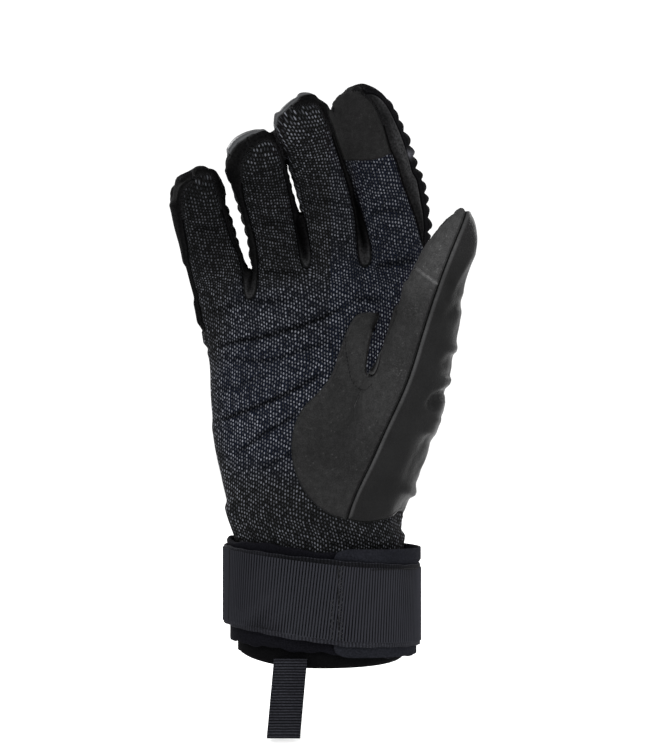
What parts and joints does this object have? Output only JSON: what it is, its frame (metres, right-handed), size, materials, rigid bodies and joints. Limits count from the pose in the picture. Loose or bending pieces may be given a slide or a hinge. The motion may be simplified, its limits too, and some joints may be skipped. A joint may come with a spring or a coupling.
{
  "type": "water ski glove",
  "caption": "Right-hand water ski glove with dotted knit palm, suede thumb patch, ribbed fingers, wrapped wrist strap and pull loop.",
  "frame": {"origin": "middle of the cuff's open hem, where the wrist goes in", "axes": "+Z from the wrist to the fingertips, +X to the thumb side, -Y out of the palm"},
  "size_m": [0.1158, 0.0816, 0.2498],
  "materials": {
    "dotted_knit": "navy-black knit with small raised light grey grip dots",
    "neoprene": "black knit-faced neoprene",
    "stretch_knit": "black stretch knit",
    "grey_print": "grey printed rubber film",
    "suede": "charcoal synthetic suede",
    "smooth_leather": "smooth black synthetic leather",
    "webbing": "black ribbed webbing",
    "soft_loop": "black soft loop fabric"
  },
  "bodies": {
    "root": {"palm_panel": "dotted_knit", "back_panel": "neoprene", "cuff_sleeve": "neoprene", "wrist_wrap": "neoprene", "little_side": "stretch_knit", "fourchette_little_ring": "stretch_knit", "fourchette_ring_middle": "stretch_knit", "fourchette_middle_index": "stretch_knit", "index_side": "stretch_knit", "little_tip_cap": "grey_print", "ring_tip_cap": "grey_print", "middle_tip_cap": "grey_print", "index_tip_cap": "grey_print", "thumb_palm_panel": "suede", "thumb_tip_panel": "suede", "index_tip_patch": "suede", "thumb_back_panel": "smooth_leather", "wrist_strap": "webbing", "pull_loop": "webbing", "strap_tab": "soft_loop"}
  },
  "joints": []
}
